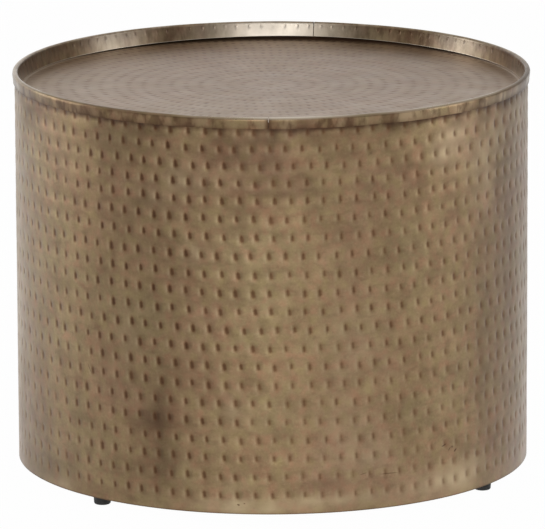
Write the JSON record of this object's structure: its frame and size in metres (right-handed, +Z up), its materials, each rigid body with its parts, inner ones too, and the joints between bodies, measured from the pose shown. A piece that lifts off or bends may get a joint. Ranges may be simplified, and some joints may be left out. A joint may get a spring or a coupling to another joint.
{
  "type": "drum side table",
  "caption": "Round drum side table with a hammered metal shell, a lift-off tray top with a rolled rim, and small rubber feet.",
  "frame": {"origin": "on the floor under the middle of the drum", "axes": "+Z up along the drum's axis, front towards -Y, the shell's seam at +Y"},
  "size_m": [0.53, 0.53, 0.414],
  "materials": {
    "shell_brass": "hammered, antique brown patina, satin",
    "tray_brass": "fine hammered, antique patina, satin",
    "rim_brass": "folded by hand, antique patina, rubbed edge",
    "frame_steel": "black paint, satin",
    "wire_steel": "drawn wire, dark oxide",
    "pad_felt": "dark felt",
    "foot_rubber": "moulded black rubber",
    "fastener_steel": "zinc plated"
  },
  "bodies": {
    "drum": {"drum_shell": "shell_brass", "seam_strip": "frame_steel", "top_hoop": "frame_steel", "cross_tube": "frame_steel", "half_tube_front": "frame_steel", "half_tube_back": "frame_steel", "tray_pads": "pad_felt", "base_ring": "frame_steel", "foot_front_left": "foot_rubber", "foot_front_right": "foot_rubber", "foot_back_left": "foot_rubber", "foot_back_right": "foot_rubber", "foot_washers": "fastener_steel", "foot_screws": "fastener_steel", "foot_nuts": "fastener_steel"},
    "tray": {"tray_floor": "tray_brass", "rim_band_left": "rim_brass", "rim_band_right": "rim_brass", "rim_wire": "wire_steel"}
  },
  "joints": [
    {"name": "tray_lift", "type": "slide", "parent": "drum", "child": "tray", "axis": [0, 0, 1], "range_m": [0, 0.06]}
  ]
}
